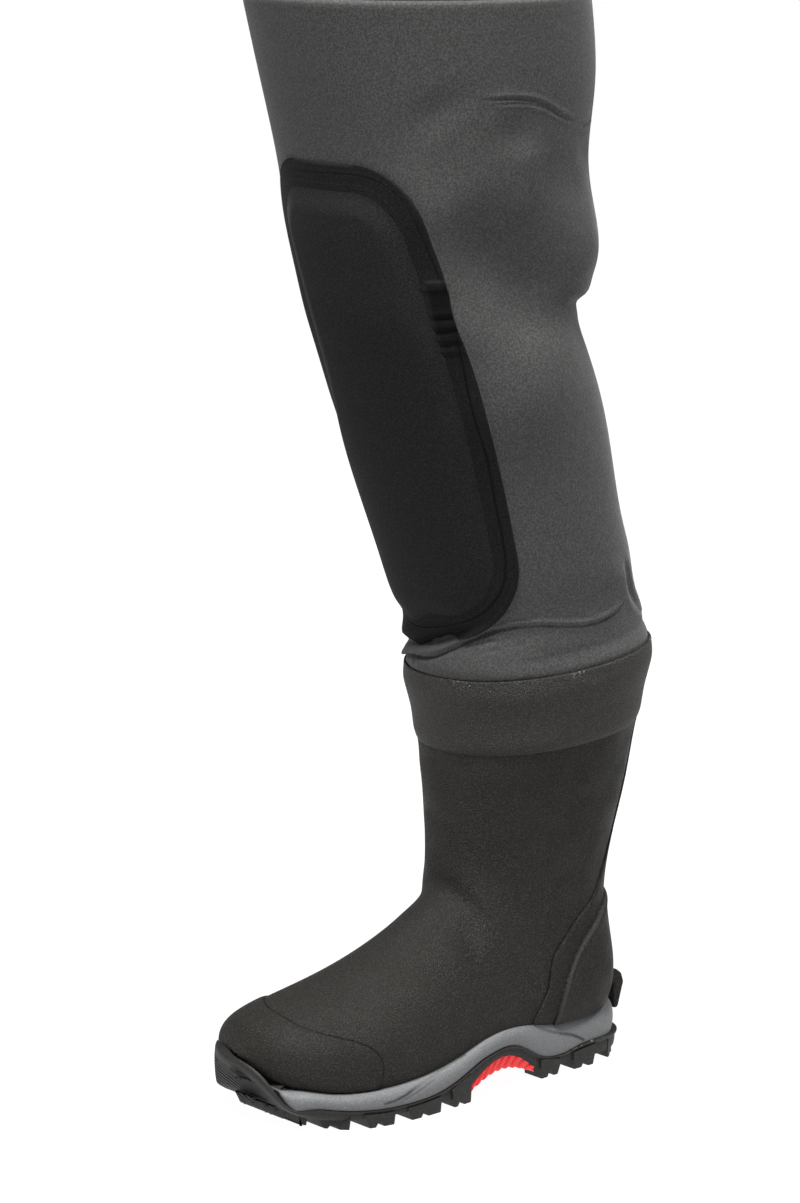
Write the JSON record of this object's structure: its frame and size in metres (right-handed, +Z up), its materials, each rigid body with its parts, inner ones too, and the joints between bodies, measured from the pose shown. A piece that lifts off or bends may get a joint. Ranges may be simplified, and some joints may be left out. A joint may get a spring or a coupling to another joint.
{
  "type": "wader leg with boot",
  "caption": "Left leg of a pair of waders: a rubber boot on a lugged sole with an arch insert, and a neoprene leg with a padded knee panel, open at the top.",
  "frame": {"origin": "on the floor, in the middle of the flat centre lug of the heel", "axes": "+X towards the toe, +Y out to the little toe side of this left boot, +Z up along the leg"},
  "size_m": [0.3102, 0.21, 0.6911],
  "materials": {
    "boot_rubber": "matte, fine grain",
    "tread_rubber": "matte",
    "midsole_foam": "satin",
    "red_plastic": "satin",
    "neoprene": "fine knit facing",
    "pad_cloth": "matte knit",
    "footbed_foam": "matte"
  },
  "bodies": {
    "root": {"outsole": "tread_rubber", "midsole": "midsole_foam", "arch_insert": "red_plastic", "insole": "footbed_foam", "upper": "boot_rubber", "toe_cap": "boot_rubber", "backstay": "boot_rubber", "heel_counter": "boot_rubber", "kick_spur": "tread_rubber", "cuff_band": "boot_rubber", "leg": "neoprene", "knee_patch": "pad_cloth", "knee_pad": "pad_cloth"}
  },
  "joints": []
}
